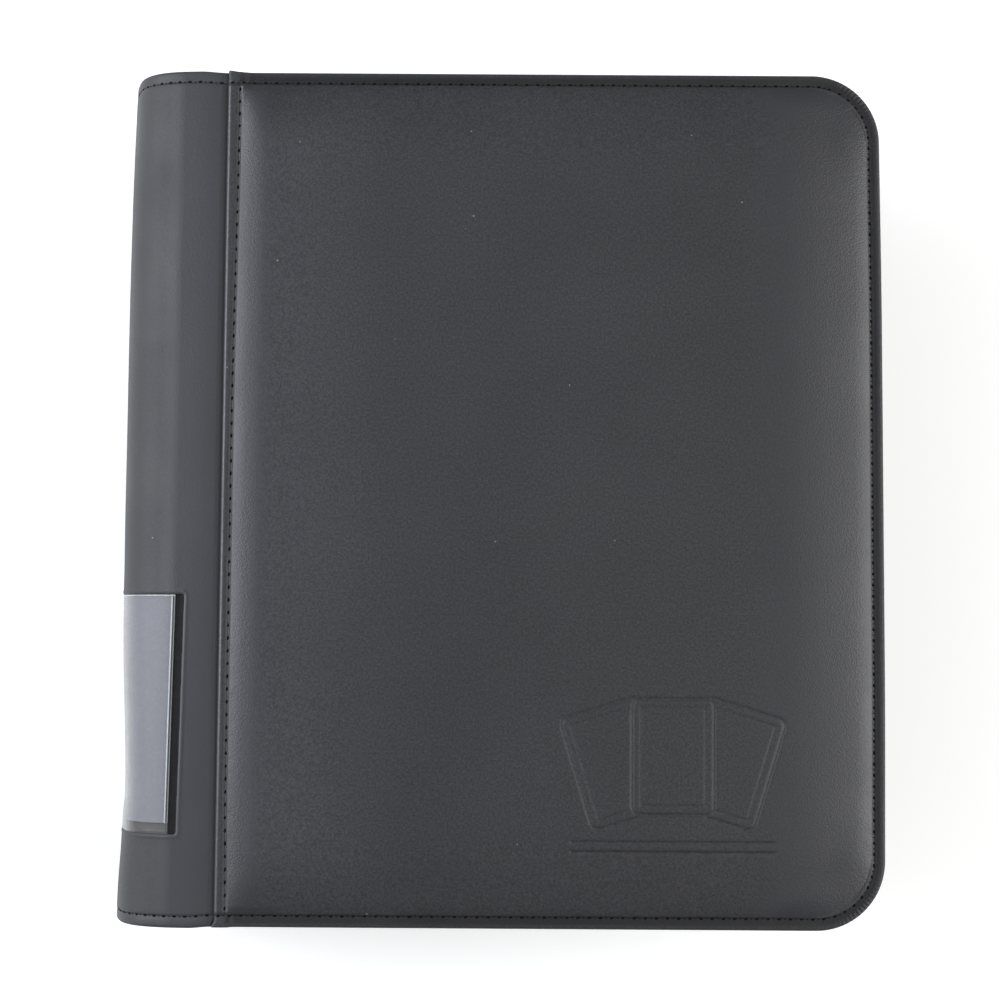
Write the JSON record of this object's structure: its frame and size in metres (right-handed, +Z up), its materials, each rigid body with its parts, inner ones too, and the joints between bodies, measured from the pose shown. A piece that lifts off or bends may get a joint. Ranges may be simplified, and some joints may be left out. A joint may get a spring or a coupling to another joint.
{
  "type": "trading card ring album",
  "caption": "Closed padded album for trading card pages: leatherette covers, rolled spine with a label window, soft hinges that open flat, and a D-ring mechanism with end levers.",
  "frame": {"origin": "under the middle of the back cover, on the surface that the closed album lies on", "axes": "+X from the spine to the fore-edge, +Y to the top edge, +Z up through the front cover"},
  "size_m": [0.2869, 0.318, 0.0818],
  "materials": {
    "leatherette": "satin",
    "lining": "matte",
    "board": "matte",
    "foam": "matte",
    "spine_sheet": "matte",
    "label_card": "matte",
    "clear_sleeve": "gloss",
    "plated_steel": "polished"
  },
  "bodies": {
    "back_cover": {"back_board": "board", "back_padding": "foam", "back_panel_leather": "leatherette", "back_lining": "lining", "back_spine_wrap": "leatherette", "back_spine_core": "spine_sheet", "ring_housing": "plated_steel", "ring_rivets": "plated_steel", "lever_pins": "plated_steel"},
    "spine": {"middle_spine_wrap": "leatherette", "middle_spine_core": "spine_sheet", "spine_lining": "lining", "label_card": "label_card", "label_sleeve": "clear_sleeve"},
    "front_cover": {"front_board": "board", "front_padding": "foam", "front_panel_leather": "leatherette", "front_lining": "lining", "front_spine_wrap": "leatherette", "front_spine_core": "spine_sheet"},
    "bow_rail": {"bow_leaf": "plated_steel", "ring_bow_1": "plated_steel", "ring_bow_2": "plated_steel", "ring_bow_3": "plated_steel"},
    "post_rail": {"post_leaf": "plated_steel", "ring_post_1": "plated_steel", "ring_post_2": "plated_steel", "ring_post_3": "plated_steel"},
    "bottom_lever": {"bottom_lever": "plated_steel"},
    "top_lever": {"top_lever": "plated_steel"}
  },
  "joints": [
    {"name": "spine_hinge", "type": "hinge", "parent": "back_cover", "child": "spine", "pos_m": [-0.13736, 0, 0.01009], "axis": [0, -1, 0], "range_deg": [0, 90], "deforming": ["label_card", "label_sleeve"]},
    {"name": "cover_hinge", "type": "hinge", "parent": "spine", "child": "front_cover", "pos_m": [-0.13736, 0, 0.07172], "axis": [0, -1, 0], "range_deg": [0, 90], "deforming": ["label_card", "label_sleeve"]},
    {"name": "ring_open", "type": "hinge", "parent": "back_cover", "child": "bow_rail", "pos_m": [-0.10975, 0, 0.0098], "axis": [0, -1, 0], "range_deg": [0, 10]},
    {"name": "post_open", "type": "hinge", "parent": "back_cover", "child": "post_rail", "pos_m": [-0.08355, 0, 0.0098], "axis": [0, 1, 0], "range_deg": [0, 10]},
    {"name": "bottom_lever_turn", "type": "hinge", "parent": "back_cover", "child": "bottom_lever", "pos_m": [-0.09665, -0.138, 0.0114], "axis": [1, 0, 0], "range_deg": [0, 22]},
    {"name": "top_lever_turn", "type": "hinge", "parent": "back_cover", "child": "top_lever", "pos_m": [-0.09665, 0.138, 0.0114], "axis": [-1, 0, 0], "range_deg": [0, 22]}
  ],
  "couplings": [
    {"joint": "post_open", "follows": "ring_open", "ratio": 1},
    {"joint": "bottom_lever_turn", "follows": "ring_open", "ratio": 2.2},
    {"joint": "top_lever_turn", "follows": "ring_open", "ratio": 2.2}
  ]
}
